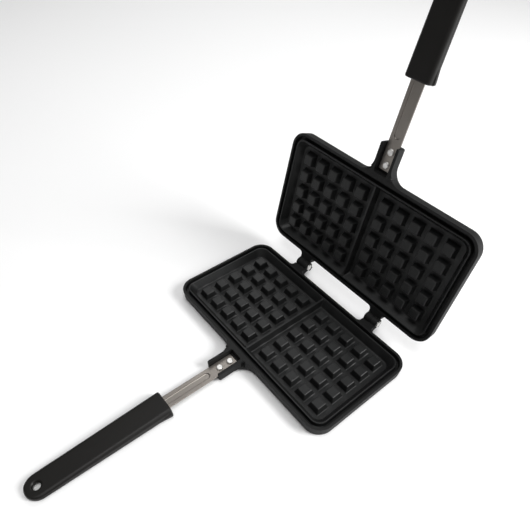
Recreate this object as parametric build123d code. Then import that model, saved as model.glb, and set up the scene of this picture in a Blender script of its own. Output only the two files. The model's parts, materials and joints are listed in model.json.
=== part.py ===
from build123d import *
from math import cos, radians, sin
import os

# Folding double waffle pan, shown open. Millimetres, +Z up.
# Origin: middle of the lower pan's flat base. +Y points to the hinge, -Y to the handles,
# X runs along the hinge. Both halves are the same casting: the upper half is the lower
# half turned over about the handle's line and then opened about the hinge.

# --- driving dimensions ---------------------------------------------------------------
OPEN_ANGLE = 103.0          # how far the upper half is open at rest, 0 is shut
PAN_LENGTH = 247.0          # along the hinge
PAN_WIDTH = 132.0
PAN_HEIGHT = 13.0           # base to mating plane
PAN_CORNER = 18.0
PAN_DRAFT = 4.0             # degrees the outer wall leans in towards the base
BASE_ROUND = 2.0

RIM_TOP = 3.0               # flat top of the outer rim
GUTTER_WIDTH = 4.0          # overflow channel between rim and sealing ridge
GUTTER_DEPTH = 6.0
RIDGE_TOP = 1.3             # thin sealing ridge round both cavities
RIB_TOP = 1.6               # divider between the two cavities
RIB_BELOW = 1.0             # its top under the mating plane
RIB_LEAN = 1.8              # how far its walls lean out, top to floor
CAVITY_DEPTH = 9.5
CAVITY_SLOPE = 5.2          # how far each outer cavity wall leans in, top to floor

STUD_PITCH = 20.0
STUD_COUNT = 5              # each way in one cavity
STUD_FIRST = 16.3           # first stud centre from the middle of the rib
STUD_TOP = 10.9
STUD_BASE = 14.2
STUD_BELOW = 1.8            # stud tops under the mating plane

LUG_WIDTH = 22.6            # handle lug cast on the front edge
LUG_REACH = 32.8            # from the pan's edge
LUG_DEPTH = 10.0            # from the mating plane down
LUG_ROUND = 15.0            # concave corners where the lug meets the pan
CHANNEL_WIDTH = 16.0
CHANNEL_START = 3.3         # wall left between the pan's edge and the channel
STRIP_SINK = 6.0            # strip's face under the mating plane
PEG_X = 14.0
PEG_OUT = 4.8               # peg and socket centres from the pan's edge
PEG_RADIUS = 1.9
PEG_RISE = 1.8
PEG_TAPER = 0.7             # peg's top radius as a share of its foot's
SOCKET_RADIUS = 2.3
SOCKET_DEPTH = 6.0

STRIP_WIDTH = 15.0
STRIP_THICK = 1.5
STRIP_START = 6.3           # strip's end from the pan's edge
BEAD_START = 37.8           # stiffening bead's round end from the pan's edge
BEAD_WIDTH = 7.0
BEAD_DEPTH = 1.2
TANG_WIDTH = 11.0
TANG_LENGTH = 78.0
TANG_HOLE = 2.5             # radius of the holes that lock the tang in the grip
TANG_HOLES_AT = (0.45, 0.8) # places of those holes as shares of the tang's length

RIVET_OUT = (12.1, 25.1)    # rivet centres from the pan's edge
RIVET_SHANK = 2.0
RIVET_HEAD = 3.5
RIVET_DOME = 1.9
RIVET_TAIL = 3.2
RIVET_TAIL_THICK = 1.0

GRIP_START = 89.8           # grip's near end from the pan's edge
GRIP_LENGTH = 139.0
GRIP_WIDTH = 28.0
GRIP_TIP_WIDTH = 25.0
GRIP_TOP_START = 11.7       # flat face above the base, at the near end
GRIP_TOP_END = 5.9          # and at the tip
GRIP_UNDER = 0.4
GRIP_TOP_ROUND = 3.2
GRIP_UNDER_ROUND = 1.8
GRIP_LIP = 1.2              # flare round the near end
GRIP_LIP_LENGTH = 7.0
HOLE_FROM_TIP = 11.0
HOLE_RADIUS = 3.5
HOLE_WALL = (2.0, 5.0)      # heights between which the hole is a plain cylinder
HOLE_MOUTH = 6.4            # radius of the dished mouths

HINGE_X = 58.0              # middle of each hinge from the middle of the pan
HINGE_WIDTH = 17.2
HINGE_OUT = 13.2            # hinge axis from the pan's back edge
HINGE_GAP = 0.4             # between the two knuckles of a hinge
KNUCKLE_RADIUS = 5.8
KNUCKLE_CLEAR = 0.6         # knuckle to the other half's arm
ARM_DEPTH = 9.5
ARM_ROUND = 4.0
STOP_IN = 6.3               # cast stop nibs behind the knuckles
STOP_OUT = 8.8
STOP_SPAN = 20.0            # degrees of one nib
STOP_SLACK = 0.8            # degrees left between the nibs when open
PIN_RADIUS = 2.40
PIN_BORE = 2.45
PIN_HEAD = 3.7
PIN_HEAD_THICK = 1.3

# --- worked out -----------------------------------------------------------------------
FRONT = -PAN_WIDTH / 2
BACK = PAN_WIDTH / 2
HINGE_Y = BACK + HINGE_OUT
RIDGE_OUT = RIM_TOP + GUTTER_WIDTH            # pan's edge to the ridge's outer face
CAVITY_IN = RIDGE_OUT + RIDGE_TOP             # pan's edge to the cavity's mouth
FLOOR = PAN_HEIGHT - CAVITY_DEPTH
STRIP_FACE = PAN_HEIGHT - STRIP_SINK
STRIP_BACK = STRIP_FACE - STRIP_THICK
LUG_UNDER = PAN_HEIGHT - LUG_DEPTH
LUG_END = FRONT - LUG_REACH
GRIP_NEAR = FRONT - GRIP_START
GRIP_TIP = GRIP_NEAR - GRIP_LENGTH
OVERLAP = 6.0               # how far lugs and arms reach into the pan's wall
SPARE = 1.0                 # how far a cutter runs past what it cuts
STOP_MIDDLE = -(OPEN_ANGLE + STOP_SPAN + STOP_SLACK) / 2      # degrees under +Y
KNUCKLE_WIDTH = (HINGE_WIDTH - HINGE_GAP) / 2
WEB_REACH = HINGE_OUT - SPARE                 # knuckle's web, back to the pan's edge

HINGE_AXIS = Axis((0, HINGE_Y, PAN_HEIGHT), (1, 0, 0))
TURN_OVER_AXIS = Axis((0, 0, PAN_HEIGHT), (0, 1, 0))


def rounded_plate(length, width, corner, low, high, x=0.0):
    """A rounded rectangle pulled up from low to high."""
    return extrude(Pos(x, 0, low) * RectangleRounded(length, width, corner), high - low)


def box(x_range, y_range, z_range):
    """A block between the given limits."""
    spans = (x_range, y_range, z_range)
    sizes = [high - low for low, high in spans]
    centre = [(low + high) / 2 for low, high in spans]
    return Pos(*centre) * Box(*sizes)


def upright(radius, height, x, y, z, top_radius=None):
    """A cylinder, or a cone, standing on z."""
    if top_radius is None:
        return Pos(x, y, z + height / 2) * Cylinder(radius, height)
    return Pos(x, y, z + height / 2) * Cone(radius, top_radius, height)


# --- the cast pan -----------------------------------------------------------------------
def pan_shell():
    """The outer block, leaning in to a rounded base edge."""
    outline = Pos(0, 0, PAN_HEIGHT) * RectangleRounded(PAN_LENGTH, PAN_WIDTH, PAN_CORNER)
    block = extrude(outline, PAN_HEIGHT, dir=(0, 0, -1), taper=PAN_DRAFT)
    base_edges = block.faces().sort_by(Axis.Z)[0].edges()
    return fillet(base_edges, BASE_ROUND)


def gutter():
    """The overflow channel between the rim and the sealing ridge."""
    low = PAN_HEIGHT - GUTTER_DEPTH
    high = PAN_HEIGHT + SPARE
    outer = rounded_plate(PAN_LENGTH - 2 * RIM_TOP, PAN_WIDTH - 2 * RIM_TOP,
                          PAN_CORNER - RIM_TOP, low, high)
    inner = rounded_plate(PAN_LENGTH - 2 * RIDGE_OUT, PAN_WIDTH - 2 * RIDGE_OUT,
                          PAN_CORNER - RIDGE_OUT, low, high)
    return outer - inner


def cavity(side):
    """One waffle cavity's space: a mouth at the mating plane, narrower at its floor."""
    mouth_length = PAN_LENGTH / 2 - CAVITY_IN - RIB_TOP / 2
    mouth_width = PAN_WIDTH - 2 * CAVITY_IN
    bed_length = mouth_length - CAVITY_SLOPE - RIB_LEAN
    bed_width = mouth_width - 2 * CAVITY_SLOPE
    mouth_corner = PAN_CORNER - CAVITY_IN

    def from_rib(start, length, z):
        return Pos(side * (RIB_TOP / 2 + start + length / 2), 0, z)

    mouth = from_rib(0, mouth_length, PAN_HEIGHT) * RectangleRounded(
        mouth_length, mouth_width, mouth_corner)
    bed = from_rib(RIB_LEAN, bed_length, FLOOR) * RectangleRounded(
        bed_length, bed_width, mouth_corner - CAVITY_SLOPE / 2)
    # the corners beside the rib are square
    half = mouth_length / 2
    mouth_half = from_rib(0, half, PAN_HEIGHT) * Rectangle(half, mouth_width)
    bed_half = from_rib(RIB_LEAN, half - RIB_LEAN, FLOOR) * Rectangle(half - RIB_LEAN, bed_width)
    return loft([bed.face(), mouth.face()]) + loft([bed_half.face(), mouth_half.face()])


def rib_drop():
    """What is milled off the rib's top."""
    end = PAN_WIDTH / 2 - CAVITY_IN - 0.3
    half = RIB_TOP / 2 + SPARE
    return box((-half, half), (-end, end), (PAN_HEIGHT - RIB_BELOW, PAN_HEIGHT + SPARE))


def studs(side):
    """The grid of tapered studs that stand in one cavity."""
    height = PAN_HEIGHT - STUD_BELOW - FLOOR
    foot = Pos(0, 0, FLOOR) * Rectangle(STUD_BASE, STUD_BASE)
    crown = Pos(0, 0, FLOOR + height) * Rectangle(STUD_TOP, STUD_TOP)
    stud = loft([foot.face(), crown.face()])
    middle = (STUD_COUNT - 1) / 2
    placed = []
    for column in range(STUD_COUNT):
        for row in range(STUD_COUNT):
            x = side * (STUD_FIRST + column * STUD_PITCH)
            y = (row - middle) * STUD_PITCH
            placed.append(Pos(x, y, 0) * stud)
    return placed


def handle_lug():
    """The lug on the front edge, with concave corners and a channel for the strip."""
    half = LUG_WIDTH / 2
    lug = box((-half, half), (LUG_END, FRONT + OVERLAP), (LUG_UNDER, PAN_HEIGHT))
    reach = half + LUG_ROUND
    web = box((-reach, reach), (FRONT - LUG_ROUND, FRONT + OVERLAP), (LUG_UNDER, PAN_HEIGHT))
    for side in (-1, 1):
        web -= upright(LUG_ROUND, PAN_HEIGHT, side * reach, FRONT - LUG_ROUND, 0)
    channel = box((-CHANNEL_WIDTH / 2, CHANNEL_WIDTH / 2), (LUG_END - SPARE, FRONT - CHANNEL_START),
                  (STRIP_BACK, PAN_HEIGHT + SPARE))
    return lug + web - channel


def along_hinge(profile, x_range):
    """Pull a (y, z) profile drawn about the hinge axis along the hinge."""
    start = (x_range[0], HINGE_Y, PAN_HEIGHT)
    plane = Plane(origin=start, x_dir=(0, 1, 0), z_dir=(1, 0, 0))
    return extrude(plane * profile, x_range[1] - x_range[0])


def stop_wedge():
    """The wedge of the stop nib, drawn about the hinge axis."""
    reach = 2 * STOP_OUT
    corners = [(0, 0)]
    for offset in (-STOP_SPAN / 2, 0, STOP_SPAN / 2):
        angle = radians(STOP_MIDDLE + offset)
        corners.append((reach * cos(angle), reach * sin(angle)))
    return make_face(Polyline(*corners, close=True))


def knuckle_with_stop(left, right):
    """This half's knuckle, on the hinge's +X side, with its web and the nib behind it."""
    own = (right - KNUCKLE_WIDTH, right)
    whole = (left + HINGE_GAP, right)
    web = make_face(Polyline((-WEB_REACH, 0), (0, 0), (0, -KNUCKLE_RADIUS),
                             (-WEB_REACH, -ARM_DEPTH), close=True))
    nib = (Circle(STOP_OUT) - Circle(STOP_IN)) & stop_wedge()
    nib_root = Circle(STOP_OUT) & stop_wedge()
    solid = along_hinge(Circle(KNUCKLE_RADIUS), own)
    return solid + along_hinge(web, own) + along_hinge(nib_root, own) + along_hinge(nib, whole)


def arm_corner(edge, side):
    """The small concave corner where a hinge arm meets the pan's back edge."""
    outer = edge + side * ARM_ROUND
    block = box((min(edge, outer), max(edge, outer)), (BACK - OVERLAP, BACK + ARM_ROUND),
                (PAN_HEIGHT - ARM_DEPTH, PAN_HEIGHT))
    return block - upright(ARM_ROUND, PAN_HEIGHT, outer, BACK + ARM_ROUND, 0)


def hinge_arm(middle):
    """An arm across the whole hinge, carrying one knuckle; the pin's bore runs through."""
    left = middle - HINGE_WIDTH / 2
    right = middle + HINGE_WIDTH / 2
    arm_end = HINGE_Y - KNUCKLE_RADIUS - KNUCKLE_CLEAR
    arm = box((left, right), (BACK - OVERLAP, arm_end), (PAN_HEIGHT - ARM_DEPTH, PAN_HEIGHT))
    arm += arm_corner(left, -1) + arm_corner(right, 1)
    arm += knuckle_with_stop(left, right)
    return arm - along_hinge(Circle(PIN_BORE), (left - SPARE, right + SPARE))


def pegs_and_sockets(pan):
    """The peg on one side of the lug and the socket for the other half's peg."""
    y = FRONT - PEG_OUT
    pan += upright(PEG_RADIUS, PEG_RISE, -PEG_X, y, PAN_HEIGHT, PEG_RADIUS * PEG_TAPER)
    return pan - upright(SOCKET_RADIUS, SOCKET_DEPTH + SPARE, PEG_X, y, PAN_HEIGHT - SOCKET_DEPTH)


def cast_pan():
    """One whole casting: plate, cavities, studs, handle lug and hinge arms."""
    pan = pan_shell() + handle_lug() + hinge_arm(-HINGE_X) + hinge_arm(HINGE_X)
    pan -= gutter()
    pan -= rib_drop()
    for side in (-1, 1):
        pan -= cavity(side)
        pan += studs(side)
    for out in RIVET_OUT:
        pan -= upright(RIVET_SHANK, PAN_HEIGHT, 0, FRONT - out, 0)
    return pegs_and_sockets(pan)


# --- the handle -------------------------------------------------------------------------
def bead(width, low, high):
    """The round-ended bar of the stiffening bead, running on into the grip."""
    start = FRONT - BEAD_START
    end = GRIP_NEAR - HOLE_FROM_TIP
    straight = box((-width / 2, width / 2), (end, start - width / 2), (low, high))
    return straight + upright(width / 2, high - low, 0, start - width / 2, low)


def tang():
    """The strip's narrow end inside the grip, with the holes that lock it."""
    end = GRIP_NEAR - TANG_LENGTH
    blade = box((-TANG_WIDTH / 2, TANG_WIDTH / 2), (end, GRIP_NEAR), (STRIP_BACK, STRIP_FACE))
    for share in TANG_HOLES_AT:
        y = GRIP_NEAR - share * TANG_LENGTH
        blade -= upright(TANG_HOLE, PAN_HEIGHT, 0, y, 0)
    return blade


def handle_strip():
    """The stamped steel strip: riveted end, stiffening bead and tang."""
    near = FRONT - STRIP_START
    shoulder = GRIP_NEAR - 2 * HOLE_FROM_TIP
    strip = box((-STRIP_WIDTH / 2, STRIP_WIDTH / 2), (shoulder, near), (STRIP_BACK, STRIP_FACE))
    strip += tang()
    strip += bead(BEAD_WIDTH + 2 * BEAD_DEPTH, STRIP_BACK - BEAD_DEPTH, STRIP_BACK)
    strip -= bead(BEAD_WIDTH, STRIP_FACE - BEAD_DEPTH, STRIP_FACE + SPARE)
    for out in RIVET_OUT:
        strip -= upright(RIVET_SHANK, PAN_HEIGHT, 0, FRONT - out, 0)
    return strip


def rivet(out):
    """A domed rivet through the strip and the lug's floor."""
    y = FRONT - out
    shank = upright(RIVET_SHANK, STRIP_FACE - LUG_UNDER, 0, y, LUG_UNDER)
    tail = upright(RIVET_TAIL, RIVET_TAIL_THICK, 0, y, LUG_UNDER - RIVET_TAIL_THICK)
    ball = (RIVET_HEAD ** 2 + RIVET_DOME ** 2) / (2 * RIVET_DOME)
    dome = Pos(0, y, STRIP_FACE + RIVET_DOME - ball) * Sphere(ball)
    dome &= upright(RIVET_HEAD, RIVET_DOME, 0, y, STRIP_FACE)
    return shank + tail + dome


def grip_outline():
    """The grip seen from above: a slight taper to a round tip."""
    near = GRIP_WIDTH / 2
    far = GRIP_TIP_WIDTH / 2
    round_start = GRIP_TIP + far
    sides = [(-near, GRIP_NEAR), (near, GRIP_NEAR), (far, round_start)]
    outline = Polyline(*sides) + RadiusArc((far, round_start), (-far, round_start), far)
    outline += Line((-far, round_start), (-near, GRIP_NEAR))
    return make_face(outline)


def grip_side():
    """The grip seen from the side: the flat face falls away towards the tip."""
    profile = Polyline((GRIP_NEAR, GRIP_UNDER), (GRIP_NEAR, GRIP_TOP_START),
                       (GRIP_TIP, GRIP_TOP_END), (GRIP_TIP, GRIP_UNDER), close=True)
    plane = Plane(origin=(-GRIP_WIDTH, 0, 0), x_dir=(0, 1, 0), z_dir=(1, 0, 0))
    return extrude(plane * make_face(profile), 2 * GRIP_WIDTH)


def hanging_hole():
    """The hole near the tip: a plain wall between two dished mouths."""
    y = GRIP_TIP + HOLE_FROM_TIP
    low, high = HOLE_WALL
    hole = upright(HOLE_RADIUS, PAN_HEIGHT, 0, y, 0)
    rise = HOLE_MOUTH - HOLE_RADIUS
    hole += upright(HOLE_RADIUS, rise, 0, y, high, HOLE_MOUTH)
    return hole + upright(HOLE_MOUTH, rise, 0, y, low - rise, HOLE_RADIUS)


def away_from_near_end(face):
    """The edges of one of the grip's faces, without the one at the near end."""
    return face.edges().filter_by(lambda edge: edge.center().Y < GRIP_NEAR - SPARE)


def grip():
    """The moulded grip over the tang, with a flared lip at its near end."""
    body = extrude(grip_outline(), PAN_HEIGHT) & grip_side()
    top = body.faces().sort_by(Axis.Z)[-1]
    body = fillet(away_from_near_end(top), GRIP_TOP_ROUND)
    under = body.faces().sort_by(Axis.Z)[0]
    body = fillet(away_from_near_end(under), GRIP_UNDER_ROUND)
    lip_half = GRIP_WIDTH / 2 + GRIP_LIP
    lip = box((-lip_half, lip_half), (GRIP_NEAR - GRIP_LIP_LENGTH, GRIP_NEAR),
              (GRIP_UNDER, GRIP_TOP_START - GRIP_LIP))
    lip = fillet(lip.edges().filter_by(Axis.Y), GRIP_TOP_ROUND)
    return body + lip - handle_strip() - hanging_hole()


# --- hinge pins -------------------------------------------------------------------------
def hinge_pin(middle):
    """A headed pivot pin; its head shows on the +X side and its tail is peened over."""
    left = middle - HINGE_WIDTH / 2
    right = middle + HINGE_WIDTH / 2
    shank = along_hinge(Circle(PIN_RADIUS), (left, right))
    head = along_hinge(Circle(PIN_HEAD), (right, right + PIN_HEAD_THICK))
    head = chamfer(head.edges().sort_by(Axis.X)[-1], PIN_HEAD_THICK / 2)
    tail = along_hinge(Circle(PIN_HEAD), (left - PIN_HEAD_THICK, left))
    tail = chamfer(tail.edges().sort_by(Axis.X)[0], PIN_HEAD_THICK / 2)
    return shank + head + tail


# --- assembly ---------------------------------------------------------------------------
def open_half(solid):
    """Turn a lower-half piece over and open it about the hinge."""
    turned = solid.rotate(TURN_OVER_AXIS, 180)
    return turned.rotate(HINGE_AXIS, -OPEN_ANGLE)


def half_pieces():
    """The pieces of one half, in the lower half's place."""
    return {
        "pan": cast_pan(),
        "handle_strip": handle_strip(),
        "inner_rivet": rivet(RIVET_OUT[0]),
        "outer_rivet": rivet(RIVET_OUT[1]),
        "grip": grip(),
    }


def main():
    os.makedirs("parts", exist_ok=True)
    pieces = {}
    for name, solid in half_pieces().items():
        pieces["lower_" + name] = solid
        pieces["upper_" + name] = open_half(solid)
    pieces["left_hinge_pin"] = hinge_pin(-HINGE_X)
    pieces["right_hinge_pin"] = hinge_pin(HINGE_X)
    for name, solid in pieces.items():
        export_step(solid, f"parts/{name}.step")


main()
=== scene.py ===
import json
from math import atan2, cos, radians, sin

import bmesh
import bpy
from bpy.props import FloatProperty, FloatVectorProperty, PointerProperty
from bpy.types import Operator, Panel, PropertyGroup
from mathutils import Euler, Matrix, Vector


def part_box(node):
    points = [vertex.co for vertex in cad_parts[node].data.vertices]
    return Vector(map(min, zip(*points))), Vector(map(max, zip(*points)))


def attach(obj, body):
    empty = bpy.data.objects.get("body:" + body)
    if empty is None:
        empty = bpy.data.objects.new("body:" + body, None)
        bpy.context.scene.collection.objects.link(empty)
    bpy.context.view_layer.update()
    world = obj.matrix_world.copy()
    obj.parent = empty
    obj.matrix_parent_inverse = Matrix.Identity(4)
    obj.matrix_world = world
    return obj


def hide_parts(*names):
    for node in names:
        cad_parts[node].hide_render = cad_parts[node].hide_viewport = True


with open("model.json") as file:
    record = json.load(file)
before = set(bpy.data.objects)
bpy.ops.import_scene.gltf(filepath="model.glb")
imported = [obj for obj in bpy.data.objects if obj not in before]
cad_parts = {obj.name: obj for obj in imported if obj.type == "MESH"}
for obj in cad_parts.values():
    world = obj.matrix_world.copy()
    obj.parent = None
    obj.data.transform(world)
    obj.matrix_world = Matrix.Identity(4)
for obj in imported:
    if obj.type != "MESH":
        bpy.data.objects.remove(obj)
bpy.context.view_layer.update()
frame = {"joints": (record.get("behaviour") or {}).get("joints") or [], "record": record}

bl_info = {
    "name": "Folding Waffle Pan",
    "version": (1, 0, 0),
    "blender": (4, 5, 0),
    "location": "3D View > Sidebar > Waffle Pan",
    "description": "Builds the pieces of a folding stovetop waffle pan round its packed frame",
    "category": "Add Mesh",
}

MM = 0.001
SAME = 0.02 * MM        # places closer than this count as one
SPARE = 1.0 * MM        # how far a cutter runs past what it cuts
ROUND_STEPS = 44        # facets round a rivet, pin or bore

# --- places that the frame gives ------------------------------------------------------
HINGE = Vector(frame["joints"][0]["pos_m"])
MOUNTS = {mount["name"]: mount for mount in frame["record"]["mounts"]}
PAN_LOW, PAN_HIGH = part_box("lower_pan")
STRIP_LOW, STRIP_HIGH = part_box("lower_handle_strip")
GRIP_LOW, GRIP_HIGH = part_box("lower_grip")
RIVET_PLACES = [sum(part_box(f"lower_{name}_rivet"), Vector()) / 2 for name in ("inner", "outer")]
RIVET_LOW, RIVET_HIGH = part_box("lower_inner_rivet")
PIN_SPANS = [[corner.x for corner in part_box(f"{side}_hinge_pin")] for side in ("left", "right")]
HANGING_HOLE = Vector(MOUNTS["lower_hanging_hole"]["pos_m"])

TOP = HINGE.z                       # the plane where the two halves meet
LENGTH = PAN_HIGH.x - PAN_LOW.x
HINGE_OUT = 13.2 * MM               # from the pan's back edge to the hinge axis
BACK = HINGE.y - HINGE_OUT
FRONT = -BACK
HINGE_GAP = 0.4 * MM                # between the two knuckles of a hinge
PIN_HEAD = 1.3 * MM                 # a pin's head stands this far past its hinge
STRIP_BACK = STRIP_HIGH.z - 1.5 * MM        # the strip's underside, on the channel's floor
# left side, start of the lower half's own knuckle and right side of each hinge
HINGE_SPANS = [(low + PIN_HEAD, (low + high + HINGE_GAP) / 2, high - PIN_HEAD)
               for low, high in PIN_SPANS]

# --- small fixed sizes ----------------------------------------------------------------
CORNER_STEPS = 14       # facets round a corner of the plate
GUTTER_ROUND, CAVITY_ROUND = 1.1 * MM, 1.3 * MM     # along their floors
RIB_RAMP = 3 * MM       # from the rib's dropped top up to the ridge
RIB_STEP = 0.3 * MM     # left between the ramp's top and the ridge
LUG_ROOT = 0.8          # how far a lug or arm reaches into the plate, in rim widths
LUG_SIDE = 0.3 * MM     # beyond a lug's inside corners, inside the plate
LUG_ROUND, CHANNEL_ROUND, STRIP_CORNER = 1.6 * MM, 1.5 * MM, 0.8 * MM   # corners at their ends
ARM_SHORT = 0.6 * MM    # an arm ends this far before its knuckle
WEB_LAP = 2 * MM        # how far a knuckle's web reaches into its arm
WEB_STEP = 0.15 * MM    # a knuckle's face stands this far past its web
NIB_SPAN, NIB_MIDDLE = radians(20), radians(-61.9)  # about the hinge
NIB_OUTER, NIB_CLEAR = 8.8 * MM, 6.3 * MM           # radii outside and cleared under a nib
NIB_SIDE, NIB_FACE = 0.2 * MM, 0.1 * MM             # steps beside its knuckle's two faces
# a knuckle's meeting face: how far its edges lie from the hinge axis and from its plane
FACE_REACH, FACE_DEEP = 9 * MM, 0.3 * MM
# the rib's ends: how far their edges lie from the middle, and how deep under the rim
RIB_END_NEAR, RIB_END_FAR, RIB_END_DEEP = 54 * MM, 60 * MM, 1.5 * MM
PEG_SIDE, PEG_OUT = 14 * MM, 4.8 * MM   # from the lug's middle, from the plate's edge
PEG_RADIUS, PEG_HEIGHT = 1.9 * MM, 1.8 * MM
PEG_TIP = 0.7           # a peg's tip, as a share of its foot
SOCKET_RADIUS, SOCKET_DEPTH = 2.3 * MM, 6 * MM
RIVET_BORE, PIN_BORE = 2.0 * MM, 2.45 * MM          # radii of the holes
STRIP_TUCK = 22 * MM    # how far the strip reaches into the grip
BEAD_TUCK = 4 * MM      # from the strip's hidden end to the bead's
BEAD_ROUND = 0.98       # the bead's end corner, as a share of its half width
RIVET_DISHES = ((1.0 * MM, -0.10 * MM), (0.5 * MM, -0.04 * MM))     # ring widths and drops
# how much of a rivet head, a rivet tail and a pin head is rounded
RIVET_ROUND, TAIL_ROUND, PIN_ROUND = 0.62, 0.6, 0.7
SECTION_STEPS = 7       # facets round each corner of the grip's section
FLARE_STEPS, BODY_STEPS, NOSE_STEPS = 12, 10, 14    # sections along the grip's three parts
# steps of the round at the grip's near end: how far in and how far out, in radii
END_STEPS = ((0.08, 0.38), (0.22, 0.30), (0.30, 0.19), (0.40, 0.13))
TIP_ROUNDS = (0.8, 0.7)     # the tip's lower and upper rounds, as shares of the long ones
HOLE_WALL = ((5.0 * MM, 1), (2.0 * MM, -1))     # ends of the hanging hole's plain wall
GRIP_EDGE = 0.5 * MM    # radius of the hanging hole's edges


def turned_open():
    """The move from the lower half's place to the open upper half's place."""
    axis = Vector(MOUNTS["upper_base"]["axis"])
    over = Matrix.Rotation(radians(180), 4, "Y")
    opened = Matrix.Rotation(-atan2(axis.y, axis.z), 4, "X")
    meeting = Matrix.Translation((0, 0, TOP))
    hinge = Matrix.Translation(HINGE)
    return hinge @ opened @ hinge.inverted() @ meeting @ over @ meeting.inverted()


OPEN = turned_open()
# where each half's own origin lies, and the turn back to the lower half's place
HALVES = {"lower": ((0, 0, 0), (0, 0, 0)),
          "upper": (OPEN.translation, OPEN.inverted().to_euler())}


# --- settings -------------------------------------------------------------------------
def length(name, millimetres, description):
    """A length that the user can change."""
    return FloatProperty(name=name, description=description, default=millimetres * MM,
                         min=0, unit="LENGTH", subtype="DISTANCE", precision=5)


def turn(name, degrees, description):
    """An angle that the user can change."""
    return FloatProperty(name=name, description=description, default=radians(degrees),
                         subtype="ANGLE")


def colour(name, value, description):
    """A colour that the user can change."""
    return FloatVectorProperty(name=name, description=description, default=value, size=3,
                               min=0, max=1, subtype="COLOR")


def share(name, value, description):
    """A number from 0 to 1 that the user can change."""
    return FloatProperty(name=name, description=description, default=value, min=0, max=1,
                         subtype="FACTOR")


class CastingSettings(PropertyGroup):
    """Sizes and colour of the two cast halves."""
    corner: length("Corner", 18.0, "Radius of the plate's corners")
    base_round: length("Base round", 2.0, "Radius of the edge round the base")
    draught: turn("Draught", 4.0, "Lean of the outer wall towards the base")
    rim: length("Rim", 3.0, "Width of the flat outer rim")
    gutter_width: length("Gutter width", 4.0, "Width of the overflow gutter")
    gutter_depth: length("Gutter depth", 6.0, "Depth of the overflow gutter")
    ridge: length("Ridge", 1.3, "Width of the sealing ridge")
    rib: length("Rib", 1.6, "Width of the rib between the two cavities")
    rib_lean: length("Rib lean", 1.8, "How far the rib's walls lean out")
    rib_below: length("Rib drop", 1.0, "Rib's top under the mating plane")
    cavity_depth: length("Cavity depth", 9.5, "Depth of a cavity's floor")
    cavity_slope: length("Cavity slope", 5.2, "How far a cavity's outer walls lean in")
    rib_corner: length("Rib corner", 1.6, "Radius of a cavity's corners beside the rib")
    stud_pitch: length("Stud pitch", 20.0, "Distance between stud centres")
    stud_first: length("First stud", 16.3, "First stud's centre from the middle of the rib")
    stud_top: length("Stud top", 10.9, "Width of a stud at its top")
    stud_base: length("Stud base", 14.2, "Width of a stud at its foot")
    stud_below: length("Stud drop", 1.8, "Stud tops under the mating plane")
    stud_round: length("Stud round", 0.8, "Radius of a stud's edges")
    lug_width: length("Lug width", 22.6, "Width of the handle lug")
    lug_depth: length("Lug depth", 10.0, "Depth of the handle lug")
    lug_corner: length("Lug corner", 15.0, "Radius of the corners between lug and plate")
    channel_width: length("Channel width", 16.0, "Width of the strip's channel in the lug")
    channel_start: length("Channel start", 3.3, "Wall between the plate's edge and the channel")
    arm_depth: length("Arm depth", 9.5, "Depth of the hinge arms")
    arm_corner: length("Arm corner", 4.0, "Radius of the corners between arm and plate")
    knuckle: length("Knuckle", 5.8, "Radius of the hinge knuckles")
    edge: length("Edge", 0.45, "Radius on the casting's other edges")
    coating: colour("Coating", (0.0075, 0.0078, 0.0078), "Colour of the non-stick coating")
    sheen: share("Roughness", 0.42, "Roughness of the non-stick coating")


class StripSettings(PropertyGroup):
    """Sizes and colour of the stamped handle strips."""
    thickness: length("Thickness", 1.5, "Thickness of the sheet")
    bead_start: length("Bead start", 37.8, "Bead's round end from the plate's edge")
    bead_width: length("Bead width", 7.0, "Width of the stiffening bead")
    bead_depth: length("Bead depth", 1.2, "Depth of the stiffening bead")
    edge: length("Edge", 0.3, "Radius on the sheet's edges")
    steel: colour("Steel", (0.31, 0.285, 0.26), "Colour of the satin steel")


class RivetSettings(PropertyGroup):
    """Sizes and colour of the handle rivets."""
    shank: length("Shank", 2.0, "Radius of the shank")
    tail: length("Tail", 3.2, "Radius of the tail under the lug")
    tail_thickness: length("Tail thickness", 1.0, "Thickness of the tail")
    aluminium: colour("Aluminium", (0.80, 0.79, 0.77), "Colour of the bright aluminium")


class GripSettings(PropertyGroup):
    """Sizes and colour of the moulded grips."""
    width: length("Width", 28.0, "Width at the near end")
    tip_width: length("Tip width", 25.0, "Width at the tip")
    tip_height: length("Tip height", 5.9, "Height of the flat face at the tip")
    top_round: length("Top round", 4.2, "Radius along the flat face")
    under_round: length("Under round", 2.6, "Radius along the underside")
    seam: length("Seam", 0.3, "How far the moulding seam stands out")
    end_round: length("End round", 1.5, "Radius round the near end")
    flare: length("Flare", 1.3, "How far the near end's lower half stands out")
    flare_length: length("Flare length", 16.0, "How far the flare runs along the grip")
    hole_mouth: length("Hole mouth", 6.4, "Radius of the hanging hole's dished mouth")
    phenolic: colour("Phenolic", (0.0048, 0.0042, 0.0036), "Colour of the moulded phenolic")
    sheen: share("Roughness", 0.36, "Roughness of the moulded phenolic")


class PinSettings(PropertyGroup):
    """Sizes and colour of the hinge pins."""
    shank: length("Shank", 2.4, "Radius of the shank")
    head: length("Head", 3.7, "Radius of the head")
    head_thickness: length("Head thickness", 1.3, "Thickness of the head")
    steel: colour("Steel", (0.72, 0.71, 0.69), "Colour of the bright steel")


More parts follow.
